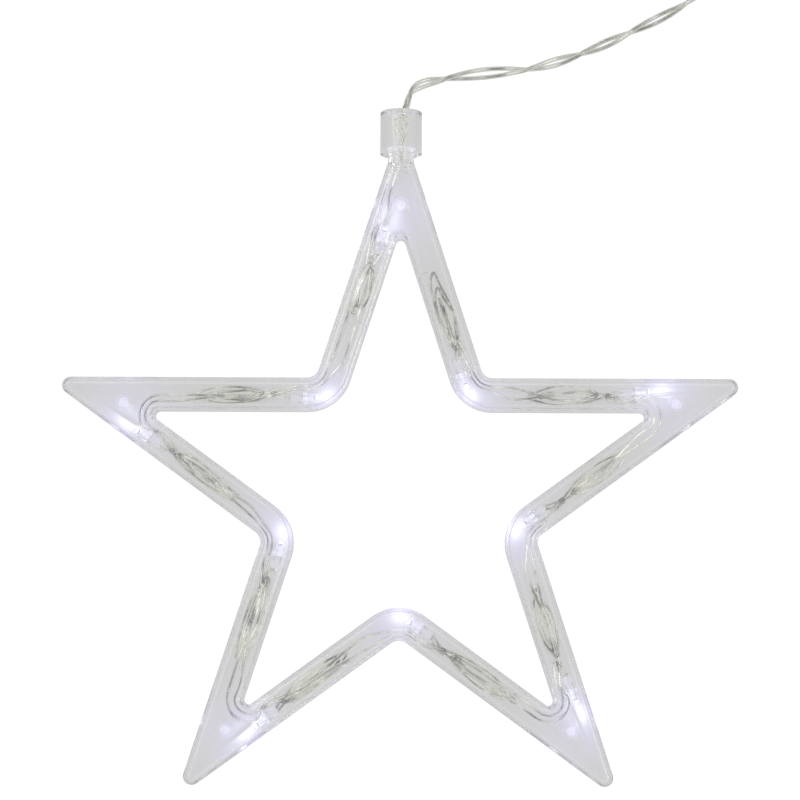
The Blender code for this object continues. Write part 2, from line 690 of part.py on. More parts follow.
def switch():
    """A slide switch under the deck, with its slider in the slot."""
    body = bmesh.new()
    add_box(body, case_point(SWITCH_X - SWITCH_HALF[0], -SWITCH_HALF[1], SWITCH_Z[0]),
            case_point(SWITCH_X + SWITCH_HALF[0], SWITCH_HALF[1], SWITCH_Z[1]))
    add_mesh("switch_body", mesh_from("switch_body", body), STEEL)
    slider = bmesh.new()
    middle = -SWITCH_TRAVEL / 2
    add_box(slider, case_point(SWITCH_X - SLIDER_HALF[0], middle - SLIDER_HALF[1], SLIDER_Z[0]),
            case_point(SWITCH_X + SLIDER_HALF[0], middle + SLIDER_HALF[1], SLIDER_Z[1]))
    add_mesh("switch_slider", mesh_from("switch_slider", slider), BLACK)


def contacts():
    """Three coned springs and three flat plates, on alternate ends of the cell bay."""
    for number in range(3):
        side = -1 if number % 2 == 0 else 1
        y = (number - 1) * CELL_PITCH
        spring_wall = BAY_X[0] if side < 0 else BAY_X[1]
        plate_wall = BAY_X[1] if side < 0 else BAY_X[0]
        wire = 0.4 * MM
        turns, per_turn = 3, 8
        count = turns * per_turn + 1
        route = []
        for i in range(count):
            t = i / (count - 1)
            radius = CONTACT_RADIUS - 1.8 * MM * t
            angle = 2 * math.pi * turns * t
            x = spring_wall - side * (TOUCH + wire + (SPRING_LENGTH - 2 * wire) * t)
            route.append((*case_point(x, y + radius * math.cos(angle),
                                      CELL_HEIGHT + radius * math.sin(angle)), wire))
        tube(f"contact_spring_{number + 1:02d}", route, STEEL)
        plate = bmesh.new()
        back = plate_wall + side * TOUCH
        face = back + side * 0.5 * MM
        add_box(plate, case_point(min(face, back), y - CONTACT_HALF, CELL_HEIGHT - CONTACT_HALF),
                case_point(max(face, back), y + CONTACT_HALF, CELL_HEIGHT + CONTACT_HALF))
        name = f"contact_plate_{number + 1:02d}"
        add_mesh(name, mesh_from(name, plate), STEEL)


def cord_gland():
    """The tapered strain relief where the lead enters the battery case."""
    half_x = CASE_SIZE[0] / 2
    inside = 1.2 * MM
    profile = [(2.2 * MM, 0), (2.2 * MM, inside + TOUCH), (3.6 * MM, inside + TOUCH),
               (3.6 * MM, inside + 1.6 * MM), (3.0 * MM, inside + 2.2 * MM),
               (2.0 * MM, inside + GLAND_LENGTH)]
    turned("cord_gland", profile, case_point(half_x - inside, GLAND_Y, GLAND_Z), (1, 0, 0),
           WHITE, 14)


clear_scene()
parts = new_collection("star_light")
tools = new_collection("cutters")
half_shell("front_shell", True)
half_shell("back_shell", False)
locating_pins()
neck_cap()
cord_knot()
lamps()
harness()
lead()
battery_case()
battery_cover()
switch()
contacts()
cord_gland()
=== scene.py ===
"""Looks of the clear star light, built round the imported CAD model.

The star lies on its back on z = 0 with its front face up and its neck along +Y, in metres.
The design's own dimensions and routes are repeated here from the CAD script.
"""

import json
import math
import random

import bmesh
import bpy
from mathutils import Matrix, Vector

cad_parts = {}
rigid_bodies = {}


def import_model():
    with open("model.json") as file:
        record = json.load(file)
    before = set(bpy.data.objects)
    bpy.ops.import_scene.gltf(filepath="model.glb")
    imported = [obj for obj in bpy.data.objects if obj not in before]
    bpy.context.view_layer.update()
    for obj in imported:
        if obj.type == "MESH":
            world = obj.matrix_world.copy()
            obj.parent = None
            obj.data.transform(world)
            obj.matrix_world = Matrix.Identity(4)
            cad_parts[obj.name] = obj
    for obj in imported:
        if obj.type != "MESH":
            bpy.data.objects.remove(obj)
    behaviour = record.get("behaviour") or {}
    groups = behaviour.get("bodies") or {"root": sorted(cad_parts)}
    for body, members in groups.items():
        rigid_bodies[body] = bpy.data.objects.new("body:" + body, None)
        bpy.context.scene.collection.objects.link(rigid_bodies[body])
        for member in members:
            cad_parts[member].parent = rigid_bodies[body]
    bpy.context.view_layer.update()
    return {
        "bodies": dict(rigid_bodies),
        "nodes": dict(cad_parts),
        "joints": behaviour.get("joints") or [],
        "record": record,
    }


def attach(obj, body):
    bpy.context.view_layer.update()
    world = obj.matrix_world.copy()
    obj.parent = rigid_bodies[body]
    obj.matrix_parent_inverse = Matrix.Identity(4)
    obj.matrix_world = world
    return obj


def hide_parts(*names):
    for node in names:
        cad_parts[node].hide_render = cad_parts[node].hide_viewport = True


MM = 0.001
STAR = "star_light"              # the body that everything but the cover and slider rides on

# Star frame
TIP_RADIUS = 112.2 * MM          # centre to a sharp, unrounded tip
BAND = 9.7 * MM                  # width of an arm, seen from the front
DEPTH = 12.7 * MM                # back face to front face
WALL = 1.2 * MM
SHOULDER = 2.4 * MM              # rounding between the faces and the side walls
TIP_ROUND = 2.6 * MM
OPENING_TIP_ROUND = 1.5 * MM
CORNER_ROUND = 3.8 * MM
TIP_STEPS = 24
CORNER_STEPS = 14
SHOULDER_STEPS = 12
ARM_SPACING = 2.0 * MM           # between the shell's cross-sections along an arm
FACE_INSETS = (3.1 * MM, 3.9 * MM, 5.6 * MM, 6.5 * MM)   # points across its flat faces
TOUCH = 0.3 * MM
CUT_ASIDE = 0.13                 # m, how far the boxes that halve the shells reach
CUT_BELOW, CUT_ABOVE = -0.01, 0.03

# Neck and cap, from the star's centre
NECK_START = 98.5 * MM
TIP_CUT = 99.9 * MM
END_WALLS = ((3.9 * MM, 2.2 * MM), (2.6 * MM, 1.1 * MM))   # half width, distance from the faces
NECK_END = 104.4 * MM
NECK_RADIUS = 3.95 * MM
NECK_BORE = 2.85 * MM
CAP_START = 102.9 * MM
CAP_END = 116.5 * MM
CAP_RADIUS = 6.3 * MM
CAP_SOCKET = 4.3 * MM
CAP_CHAMBER = 3.1 * MM
CAP_HOLE = 2.1 * MM
CAP_SHELF = 104.8 * MM
CAP_CEILING = 115.2 * MM
CAP_RIM = 0.8 * MM
KNOT_CENTRE = 112.7 * MM

# Locating pins
BOSS_PLACE = 86.8 * MM
BOSS_RADIUS = 2.6 * MM
SOCKET_RADIUS = 1.8 * MM
PIN_RADIUS = 1.45 * MM
PIN_TOP = 10.2 * MM
SINK_DEPTH = 0.25 * MM           # of the dip in the front face over a boss
SINK_RADII = (2.3 * MM, 3.1 * MM)   # at its bottom, and as far above the face

# Lamps
LAMP_RADIUS = 1.5 * MM
LAMP_FLANGE_RADIUS = 1.9 * MM
LAMP_LENGTH = 5.3 * MM
LAMP_FLANGE = 1.0 * MM
BOOT_RADIUS = 1.3 * MM
BOOT_LENGTH = 4.1 * MM
LAMP_FROM_TIP = 15.6 * MM
LAMP_FROM_CORNER = 2.0 * MM
LAMP_ASIDE_TIP = -1.0 * MM
LAMP_ASIDE_CORNER = 1.2 * MM
RIB_OFFSETS = (3.0 * MM, 6.3 * MM)
RIB_THICKNESS = 0.9 * MM
RIB_REACH = 1.9 * MM             # past the lamp's middle
CRADLE_RADIUS = 1.8 * MM
CRADLE_SPAN = (1.0 * MM, 9.0 * MM)   # of the notch through both ribs, from the lamp's front
LEG_HALF = 0.22 * MM             # half a leg's thickness
LEG_ASIDE = 0.62 * MM
LEG_PAST = 1.6 * MM              # past the lamp's rear, in the boot
CHIP_ASIDE = -0.3 * MM
GUIDE_PLACES = (45.2 * MM, 40.8 * MM)   # wire guide of an even and of an odd arm, along it
GUIDE_TOP = 3.0 * MM
BAR_PLACES = ((23.2 * MM, 28.9 * MM), (12.5 * MM, 17.7 * MM))   # low bars across even, odd arms
BAR_HALVES = (0.3 * MM, 0.9 * MM)
BAR_TOP = 1.7 * MM
PAIR_ASIDE = 2.3 * MM

# Wires
WIRE_RADIUS = 0.7 * MM
CORE_RADIUS = 0.22 * MM
LEAD_CROSSINGS = (9.0, 23.1, 49.0, 65.5, 81.9, 102.0)   # where its wires cross, mm from the cap
LEAD_SPREADS = (0.3, 0.9, 1.35, 1.0, 0.95, 0.95)        # their half distance before each, mm
TWIST_RADIUS = 0.75              # the same, over or past them, mm
TWIST_PITCH = 33.0               # past them, mm
COIL_CENTRE = (77.0 * MM, 165.0 * MM)
COIL_RADII = (21.0, 18.0, 15.0)  # the lower turns from the outside in, mm
COIL_UPPER_RADII = (16.6, 19.6)  # the turns on top of them, mm
COIL_TURNS = 4.25
FOLDS = ((28, 44), (19, 40), (30, 53), (14, 40), (27, 51),   # each arm's folded slack,
         (19, 42), (31, 52), (20, 40), (32, 53), (14, 39))   # mm along the arm

# Battery case and coil
CASE_CENTRE = (-10.0 * MM, 167.0 * MM)
BAY_X = (-33.5 * MM, 25.0 * MM)
CELL_PITCH = 15.2 * MM
CELL_HEIGHT = 9.2 * MM
SPRING_LENGTH = 6.6 * MM
COIL_TOP = 7.0 * MM
TIE_ANGLE = math.radians(215)
TIE_RADIUS = 0.4 * MM
TIE_APART = 0.42 * MM            # half the distance between its twisted ends
TIE_TURNS = 3
TIE_END_Z = 2.2 * MM

# Lamps' light painted into the plastic as emission: a bright spot before each, and a wide glow
# further ahead
SPOT_AHEAD, SPOT_STRENGTH, SPOT_REACH = 2.0 * MM, 0.4, 3.0 * MM
HALO_AHEAD, HALO_STRENGTH, HALO_REACH = 4.0 * MM, 0.31, 8.0 * MM
WALL_SHARE = 0.12                # share of the painted glow on a side wall, for the light that it sends to the front
PAINTED_SHELF_GLOW = 0.4                 # painted glow on the cap's shelf, for light that the neck leads up to it
# painted glow all over the clear pins, where they catch the lamps' light
PAINTED_PIN_GLOW = 0.14

# Floor
FLOOR_LIGHT = 0.535              # what it sends to the object, where the camera sees it as 1
FLOOR_Z = -0.4 * MM              # clear of the parts that lie on z = 0

# Worked out from the above
HALF_TIP = math.radians(18)
CORNER_RATIO = math.sin(HALF_TIP) / math.cos(2 * HALF_TIP)
MID_RADIUS = TIP_RADIUS - BAND / 2 / math.sin(HALF_TIP)
MID_Z = DEPTH / 2
LOWEST = (TIP_RADIUS - TIP_ROUND / math.sin(HALF_TIP)) * math.cos(2 * HALF_TIP) + TIP_ROUND
STAR_Y = (LOWEST - CAP_END) / 2


# ---------------------------------------------------------------- star geometry, as in the CAD

def polar(radius, degrees):
    angle = math.radians(degrees)
    return Vector((radius * math.cos(angle), radius * math.sin(angle)))


def rounded(before, corner, after, radius, steps):
    """The arc that rounds a corner."""
    to_before = (before - corner).normalized()
    to_after = (after - corner).normalized()
    half = to_before.angle(to_after) / 2
    centre = corner + (to_before + to_after).normalized() * (radius / math.sin(half))
    first = corner + to_before * (radius / math.tan(half)) - centre
    last = corner + to_after * (radius / math.tan(half)) - centre
    sweep = math.pi - 2 * half
    return [centre + (first * math.sin((1 - i / steps) * sweep)
                      + last * math.sin(i / steps * sweep)) / math.sin(sweep)
            for i in range(steps + 1)]


def star_outline(inset):
    """The star's outline moved in by inset, with points all along its straight sides."""
    tip = TIP_RADIUS - inset / math.sin(HALF_TIP)
    sharp = []
    for k in range(5):
        sharp.append(polar(tip, 90 + 72 * k))
        sharp.append(polar(tip * CORNER_RATIO, 126 + 72 * k))
    if inset < BAND / 2:
        tip_round = max(TIP_ROUND - inset, TOUCH)
    else:
        tip_round = OPENING_TIP_ROUND + BAND - inset
    arcs = []
    for k, point in enumerate(sharp):
        radius, steps = (CORNER_ROUND + inset, CORNER_STEPS) if k % 2 else (tip_round, TIP_STEPS)
        arcs.append(rounded(sharp[k - 1], point, sharp[(k + 1) % 10], radius, steps))
    steps = round(MID_RADIUS * 0.75 / ARM_SPACING)
    outline = []
    for arc, following in zip(arcs, arcs[1:] + arcs[:1]):
        outline += arc
        outline += [arc[-1].lerp(following[0], i / steps) for i in range(1, steps)]
    return outline


def shoulder(inset_centre, radius, start_degrees, end_degrees, steps):
    points = []
    for i in range(steps + 1):
        angle = math.radians(start_degrees + (end_degrees - start_degrees) * i / steps)
        points.append((inset_centre + radius * math.cos(angle),
                       DEPTH - SHOULDER + radius * math.sin(angle)))
    return points


def shell_section():
    """The U section of a half shell, as (inset, height above the far face)."""
    rim = MID_Z + TOUCH / 2
    far = BAND - SHOULDER
    inner = SHOULDER - WALL
    return ([(0.0, rim)]
            + shoulder(SHOULDER, SHOULDER, 180, 90, SHOULDER_STEPS)
            + [(inset, DEPTH) for inset in FACE_INSETS]
            + shoulder(far, SHOULDER, 90, 0, SHOULDER_STEPS)
            + [(BAND, rim), (BAND - WALL, rim)]
            + shoulder(far, inner, 0, 90, SHOULDER_STEPS - 2)
            + [(inset, DEPTH - WALL) for inset in reversed(FACE_INSETS)]
            + shoulder(SHOULDER, inner, 90, 180, SHOULDER_STEPS - 2)
            + [(WALL, rim)])


def arm_point(arm, along, aside, z=MID_Z):
    """A point in an arm. Even arms run from a tip to a corner, odd arms on to the next tip."""
    start_radius, end_radius = MID_RADIUS, MID_RADIUS * CORNER_RATIO
    if arm % 2:
        start_radius, end_radius = end_radius, start_radius
    start = polar(start_radius, 90 + 36 * arm)
    end = polar(end_radius, 90 + 36 * (arm + 1))
    run = (end - start).normalized()
    place = start + run * along + Vector((-run.y, run.x)) * aside
    return Vector((place.x, place.y + STAR_Y, z))


def arm_frame(arm):
    """The matrix that carries (along, aside, z) into the world."""
    origin = arm_point(arm, 0, 0, 0)
    along = arm_point(arm, 1, 0, 0) - origin
    aside = arm_point(arm, 0, 1, 0) - origin
    turn = Matrix((along, aside, Vector((0, 0, 1)))).transposed().to_4x4()
    return Matrix.Translation(origin) @ turn


def lamp_place(arm):
    """Where an arm's lamp starts, and how far it sits to the side."""
    if arm % 2:
        return LAMP_FROM_CORNER, LAMP_ASIDE_CORNER
    return LAMP_FROM_TIP, LAMP_ASIDE_TIP if arm else -LAMP_ASIDE_TIP


def boss_centres():
    for k in range(5):
        place = polar(BOSS_PLACE, 90 + 72 * k)
        yield place.x, place.y + STAR_Y


# ---------------------------------------------------------------- mesh helpers

def face_out(bm):
    bmesh.ops.recalc_face_normals(bm, faces=bm.faces)
    if bm.calc_volume(signed=True) < 0:
        bmesh.ops.reverse_faces(bm, faces=bm.faces)


def mesh_from(name, bm, smooth_degrees=40):
    mesh = bpy.data.meshes.new(name)
    face_out(bm)
    bm.to_mesh(mesh)
    bm.free()
    mesh.shade_smooth()
    mesh.set_sharp_from_angle(angle=math.radians(smooth_degrees))
    return mesh


def add_box(bm, low, high, turn=None):
    low, high = Vector(low), Vector(high)
    place = Matrix.Translation((low + high) / 2) @ Matrix.Diagonal((*(high - low), 1.0))
    bmesh.ops.create_cube(bm, size=1.0, matrix=(turn or Matrix()) @ place)


def add_rod(bm, start, end, radius, sides=32, end_radius=None):
    start, end = Vector(start), Vector(end)
    run = end - start
    place = Matrix.Translation((start + end) / 2) @ run.to_track_quat("Z", "Y").to_matrix().to_4x4()
    bmesh.ops.create_cone(bm, cap_ends=True, segments=sides, radius1=radius,
                          radius2=radius if end_radius is None else end_radius,
                          depth=run.length, matrix=place)


def add_turned(bm, profile, start, direction, sides=32):
    """Adds a turned body: (radius, distance) points, spun about a line from start."""
    turn = Vector(direction).to_track_quat("Z", "Y").to_matrix().to_4x4()
    place = Matrix.Translation(start) @ turn
    rings = []
    for radius, distance in profile:
        ring = []
        for i in range(sides):
            angle = 2 * math.pi * i / sides
            ring.append(bm.verts.new(
                place @ Vector((radius * math.cos(angle), radius * math.sin(angle), distance))))
        rings.append(ring)
    closed = profile[0] == profile[-1]
    if closed:
        for vert in rings.pop():
            bm.verts.remove(vert)
    for this, following in zip(rings, rings[1:] + (rings[:1] if closed else [])):
        for i in range(sides):
            j = (i + 1) % sides
            bm.faces.new((this[i], this[j], following[j], following[i]))
    if not closed:
        bm.faces.new(rings[0])
        bm.faces.new(rings[-1])


def smooth_route(points, spacing):
    """Points on a smooth curve through the given ones."""
    made = []
    padded = [points[0]] + list(points) + [points[-1]]
    for before, start, end, after in zip(padded, padded[1:], padded[2:], padded[3:]):
        steps = max(1, round(math.dist(start, end) / spacing))
        for i in range(steps):
            t = i / steps
            made.append([
                0.5 * (2 * b + (c - a) * t + (2 * a - 5 * b + 4 * c - d) * t * t
                       + (3 * b - a - 3 * c + d) * t ** 3)
                for a, b, c, d in zip(before, start, end, after)])
    made.append(list(points[-1]))
    return made


def even_route(points, spacing):
    """The same line with its points evenly spaced, as vectors."""
    points = [Vector(p) for p in points]
    lengths = [0.0]
    for this, following in zip(points, points[1:]):
        lengths.append(lengths[-1] + (following - this).length)
    count = max(2, round(lengths[-1] / spacing))
    made, at = [], 0
    for i in range(count + 1):
        target = lengths[-1] * i / count
        while at < len(lengths) - 2 and lengths[at + 1] < target:
            at += 1
        share = (target - lengths[at]) / max(lengths[at + 1] - lengths[at], 1e-9)
        made.append(points[at].lerp(points[at + 1], share))
    return made


def frames_along(points):
    """(point, side, up) along a line, with as little twist as the line allows."""
    made = []
    side = None
    for i, point in enumerate(points):
        ahead = (points[min(i + 1, len(points) - 1)] - points[max(i - 1, 0)]).normalized()
        if side is None:
            side = ahead.cross(Vector((0, 0, 1)))
            if side.length < 0.1:
                side = ahead.cross(Vector((1, 0, 0)))
        side = (side - ahead * side.dot(ahead)).normalized()
        made.append((point, side, side.cross(ahead).normalized()))
    return made


def add_tube(bm, points, radius, sides=12):
    """Adds a closed tube along a line."""
    rings = []
    for point, side, up in frames_along(points):
        rings.append([bm.verts.new(point + side * (radius * math.cos(2 * math.pi * i / sides))
                                   + up * (radius * math.sin(2 * math.pi * i / sides)))
                      for i in range(sides)])
    for this, following in zip(rings, rings[1:]):
        for i in range(sides):
            j = (i + 1) % sides
            bm.faces.new((this[i], this[j], following[j], following[i]))
    bm.faces.new(rings[0])
    bm.faces.new(rings[-1])


def twisted(points):
    """The lines of the lead's two wires round its centreline."""
    pair = ([], [])
    travelled = 0.0
    before = None
    for point, side, up in frames_along(points):
        if before is not None:
            travelled += (point - before).length / MM
        before = point
        passed = sum(travelled > crossing for crossing in LEAD_CROSSINGS)
        if passed < len(LEAD_CROSSINGS):
            start = LEAD_CROSSINGS[passed - 1] if passed else 0.0
            turns = passed + (travelled - start) / (LEAD_CROSSINGS[passed] - start)
            spread = LEAD_SPREADS[passed]
        else:
            turns = passed + (travelled - LEAD_CROSSINGS[-1]) / (TWIST_PITCH / 2)
            spread = TWIST_RADIUS
        angle = math.pi * (turns - 0.5)
        away = (side * math.cos(angle) * spread + up * math.sin(angle) * TWIST_RADIUS) * MM
        pair[0].append(point + away)
        pair[1].append(point - away)
    return pair


# ---------------------------------------------------------------- pieces and materials

def add_piece(name, mesh, material, replaced=(), body=STAR):
    obj = bpy.data.objects.new(name, mesh)
    bpy.context.scene.collection.objects.link(obj)
    mesh.materials.clear()
    mesh.materials.append(material)
    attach(obj, body)
    if replaced:
        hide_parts(*replaced)
    return obj


def new_material(name, **values):
    """A Principled material with plain values on its sockets. Returns it, its tree and shader."""
    made = bpy.data.materials.new(name)
    made.use_nodes = True
    tree = made.node_tree
    shader = tree.nodes["Principled BSDF"]
    for socket, value in values.items():
        socket = socket.replace("_", " ")
        if isinstance(value, tuple):
            value = (*value, 1.0)
        shader.inputs[socket].default_value = value
    return made, tree, shader


def noise(tree, scale, detail=3.0):
    where = tree.nodes.new("ShaderNodeTexCoord")
    made = tree.nodes.new("ShaderNodeTexNoise")
    made.inputs["Scale"].default_value = scale
    made.inputs["Detail"].default_value = detail
    tree.links.new(where.outputs["Object"], made.inputs["Vector"])
    return made.outputs["Fac"]


def add_bump(tree, shader, height, distance):
    bump = tree.nodes.new("ShaderNodeBump")
    bump.inputs["Strength"].default_value = 1.0
    bump.inputs["Distance"].default_value = distance
    tree.links.new(height, bump.inputs["Height"])
    tree.links.new(bump.outputs["Normal"], shader.inputs["Normal"])


def vary_number(tree, value, low, high, target):
    """Maps a noise, mostly within 0.3 to 0.7, onto a range."""
    spread = tree.nodes.new("ShaderNodeMapRange")
    spread.inputs["From Min"].default_value = 0.3
    spread.inputs["From Max"].default_value = 0.7
    spread.inputs["To Min"].default_value = low
    spread.inputs["To Max"].default_value = high
    tree.links.new(value, spread.inputs["Value"])
    tree.links.new(spread.outputs["Result"], target)


def vary_colour(tree, value, first, second, target, low=0.3, high=0.7):
    ramp = tree.nodes.new("ShaderNodeValToRGB")
    ramp.color_ramp.elements[0].position = low
    ramp.color_ramp.elements[0].color = (*first, 1.0)
    ramp.color_ramp.elements[1].position = high
    ramp.color_ramp.elements[1].color = (*second, 1.0)
    tree.links.new(value, ramp.inputs["Fac"])
    tree.links.new(ramp.outputs["Color"], target)
    return ramp.color_ramp


def clear_plastic():
    """Moulded clear styrene: slightly wavy, polished on its faces and duller on its drawn walls,
    with the lamps' light painted into it as emission, over a faint painted glow everywhere."""
    made, tree, shader = new_material("clear_styrene", Transmission_Weight=1.0, IOR=1.42)
    vary_colour(tree, noise(tree, 90.0), (0.985, 0.986, 0.988), (0.997, 0.997, 0.997),
                shader.inputs["Base Color"])
    facing = tree.nodes.new("ShaderNodeNewGeometry")
    split = tree.nodes.new("ShaderNodeSeparateXYZ")
    square = tree.nodes.new("ShaderNodeMath")
    square.operation = "MULTIPLY"
    tree.links.new(facing.outputs["Normal"], split.inputs["Vector"])
    tree.links.new(split.outputs["Z"], square.inputs[0])
    tree.links.new(split.outputs["Z"], square.inputs[1])
    scale = glow(tree, shader, 0.3)
    # roughness, and the painted glow's base level: both higher on the side walls than on the faces
    for wall, face, target in ((0.12, 0.03, shader.inputs["Roughness"]),
                               (0.027, 0.008, scale.inputs[2])):
        spread = tree.nodes.new("ShaderNodeMapRange")
        spread.inputs["To Min"].default_value = wall
        spread.inputs["To Max"].default_value = face
        tree.links.new(square.outputs["Value"], spread.inputs["Value"])
        tree.links.new(spread.outputs["Result"], target)
    add_bump(tree, shader, noise(tree, 120.0, 2.0), 0.006 * MM)
    return made


def glow(tree, shader, strength, painted_haze=0.0):
    """The lamps' light painted as emission from the mesh's own glow attribute, over a little
    painted haze everywhere.
    """
    lit = tree.nodes.new("ShaderNodeAttribute")
    lit.attribute_name = "glow"
    scale = tree.nodes.new("ShaderNodeMath")
    scale.operation = "MULTIPLY_ADD"
    scale.inputs[1].default_value = strength
    scale.inputs[2].default_value = painted_haze
    tree.links.new(lit.outputs["Fac"], scale.inputs[0])
    # colour of the painted light: grey where faint, lavender, then bluish white near the lamps
    ramp = vary_colour(tree, lit.outputs["Fac"], (0.8, 0.8, 0.8), (0.85, 0.87, 1.0),
                       shader.inputs["Emission Color"], 0.0, 0.6)
    middle = ramp.elements.new(0.12)
    middle.color = (0.56, 0.51, 1.0, 1.0)
    tree.links.new(scale.outputs["Value"], shader.inputs["Emission Strength"])
    return scale


def clear_pvc(name, first, second, strength, ior=1.5):
    """Clear, slightly yellowed wire insulation, with the lamps' light and a faint haze painted in
    as emission.
    """
    made, tree, shader = new_material(name, Transmission_Weight=1.0, IOR=ior, Roughness=0.08)
    vary_colour(tree, noise(tree, 300.0), first, second, shader.inputs["Base Color"])
    add_bump(tree, shader, noise(tree, 900.0, 2.0), 0.03 * MM)
    glow(tree, shader, strength, 0.02)
    return made


def metal(name, first, second, roughness, scale, bump, spread=0.2):
    made, tree, shader = new_material(name, Metallic=1.0)
    vary_colour(tree, noise(tree, scale), first, second, shader.inputs["Base Color"],
                0.5 - spread, 0.5 + spread)
    vary_number(tree, noise(tree, scale * 2.5), roughness * 0.7, roughness * 1.3,
                shader.inputs["Roughness"])
    add_bump(tree, shader, noise(tree, scale * 4), bump)
    return made


def moulded(name, first, second, roughness):
    """Opaque moulded plastic with a fine spark-eroded grain."""
    made, tree, shader = new_material(name, IOR=1.5)
    vary_colour(tree, noise(tree, 120.0), first, second, shader.inputs["Base Color"])
    vary_number(tree, noise(tree, 400.0), roughness * 0.85, roughness * 1.15,
                shader.inputs["Roughness"])
    add_bump(tree, shader, noise(tree, 2500.0, 2.0), 0.04 * MM)
    return made


def lit_lens():
    """Clear epoxy with the chip's light in it."""
    made, tree, shader = new_material("clear_epoxy", Transmission_Weight=1.0, IOR=1.5,
                                      Roughness=0.05, Emission_Color=(0.86, 0.88, 1.0),
                                      Emission_Strength=0.12)
    vary_colour(tree, noise(tree, 400.0), (0.88, 0.89, 0.95), (0.95, 0.96, 1.0),
                shader.inputs["Base Color"])
    return made


def lit_chip():
    made, tree, shader = new_material("lit_chip", Emission_Color=(0.9, 0.93, 1.0),
                                      Emission_Strength=8.0)
    vary_colour(tree, noise(tree, 900.0), (0.95, 0.93, 0.6), (1.0, 0.97, 0.7),
                shader.inputs["Base Color"])
    return made


def add_painted_glow(mesh, more=None):
    """Paints on each vertex, as its glow attribute, the lamps' light that it sends on to the front,
    and more where asked.
    """
    lamps_at = []
    for arm in range(10):
        start, aside = lamp_place(arm)
        lamps_at.append([arm_point(arm, start - gap, aside).xy for gap in (SPOT_AHEAD, HALO_AHEAD)])
    values = []
    for vertex in mesh.vertices:
        total = 0.0
        for spot, halo in lamps_at:
            total += SPOT_STRENGTH * math.exp(-((vertex.co.xy - spot).length / SPOT_REACH) ** 2)
            total += HALO_STRENGTH * math.exp(-(vertex.co.xy - halo).length / HALO_REACH)
        total *= WALL_SHARE + (1 - WALL_SHARE) * vertex.normal.z ** 2
        values.append(total + more(vertex.co) if more else total)
    attribute = mesh.attributes.new("glow", "FLOAT", "POINT")
    attribute.data.foreach_set("value", values)


# ---------------------------------------------------------------- clear shells

def cut_or_join(obj, bm, operation):
    """Applies a boolean with a solid at once."""
    mesh = bpy.data.meshes.new("tool")
    face_out(bm)
    bm.to_mesh(mesh)
    bm.free()
    tool = bpy.data.objects.new("tool", mesh)
    bpy.context.scene.collection.objects.link(tool)
    step = obj.modifiers.new("step", "BOOLEAN")
    step.operation = operation
    step.solver = "MANIFOLD"
    step.object = tool
    bpy.context.view_layer.update()
    made = bpy.data.meshes.new_from_object(obj.evaluated_get(bpy.context.evaluated_depsgraph_get()))
    obj.modifiers.clear()
    obj.data = made
    bpy.data.objects.remove(tool)


def half_shell(name, node, is_front, material):
    bm = bmesh.new()
    loops = []
    for inset, height in shell_section():
        z = height if is_front else DEPTH - height
        loops.append([bm.verts.new((p.x, p.y + STAR_Y, z)) for p in star_outline(inset)])
    count = len(loops[0])
    for this, following in zip(loops, loops[1:] + loops[:1]):
        for i in range(count):
            j = (i + 1) % count
            bm.faces.new((this[i], this[j], following[j], following[i]))
    shell = add_piece(name, mesh_from(name, bm), material, [node])

    tip_cut = bmesh.new()
    add_box(tip_cut, (-0.02, STAR_Y + TIP_CUT, CUT_BELOW), (0.02, STAR_Y + 0.14, CUT_ABOVE))
    cut_or_join(shell, tip_cut, "DIFFERENCE")
    for half, face in END_WALLS:
        end_wall = bmesh.new()
        add_box(end_wall, (-half, STAR_Y + NECK_START, face),
                (half, STAR_Y + TIP_CUT, DEPTH - face))
        cut_or_join(shell, end_wall, "UNION")
    neck = bmesh.new()
    add_rod(neck, (0, STAR_Y + NECK_START + TOUCH, MID_Z), (0, STAR_Y + NECK_END, MID_Z),
            NECK_RADIUS, 48)
    cut_or_join(shell, neck, "UNION")
    if is_front:
        add_sockets(shell)
    else:
        add_cradles(shell)
    bore = bmesh.new()
    add_rod(bore, (0, STAR_Y + NECK_START - 3 * MM, MID_Z), (0, STAR_Y + NECK_END + MM, MID_Z),
            NECK_BORE, 48)
    cut_or_join(shell, bore, "DIFFERENCE")
    other_half = bmesh.new()
    if is_front:
        add_box(other_half, (-CUT_ASIDE, -CUT_ASIDE, CUT_BELOW),
                (CUT_ASIDE, CUT_ASIDE, MID_Z + TOUCH / 2))
    else:
        add_box(other_half, (-CUT_ASIDE, -CUT_ASIDE, MID_Z - TOUCH / 2),
                (CUT_ASIDE, CUT_ASIDE, CUT_ABOVE))
    cut_or_join(shell, other_half, "DIFFERENCE")
    shell.data.shade_smooth()
    shell.data.set_sharp_from_angle(angle=math.radians(40))
    shell.data.materials.clear()
    shell.data.materials.append(material)
    # painted lamp glow, as emission on the shell
    add_painted_glow(shell.data)


def add_sockets(shell):
    """Hollow bosses under the front face, and the shallow sink over each."""
    bosses, sockets, dishes = bmesh.new(), bmesh.new(), bmesh.new()
    for x, y in boss_centres():
        add_rod(bosses, (x, y, MID_Z), (x, y, DEPTH - WALL / 2), BOSS_RADIUS)
        add_rod(sockets, (x, y, 0), (x, y, PIN_TOP + TOUCH), SOCKET_RADIUS)
        add_rod(dishes, (x, y, DEPTH - SINK_DEPTH), (x, y, DEPTH + SINK_DEPTH), SINK_RADII[0],
                48, SINK_RADII[1])
    cut_or_join(shell, bosses, "UNION")
    cut_or_join(shell, sockets, "DIFFERENCE")
    cut_or_join(shell, dishes, "DIFFERENCE")


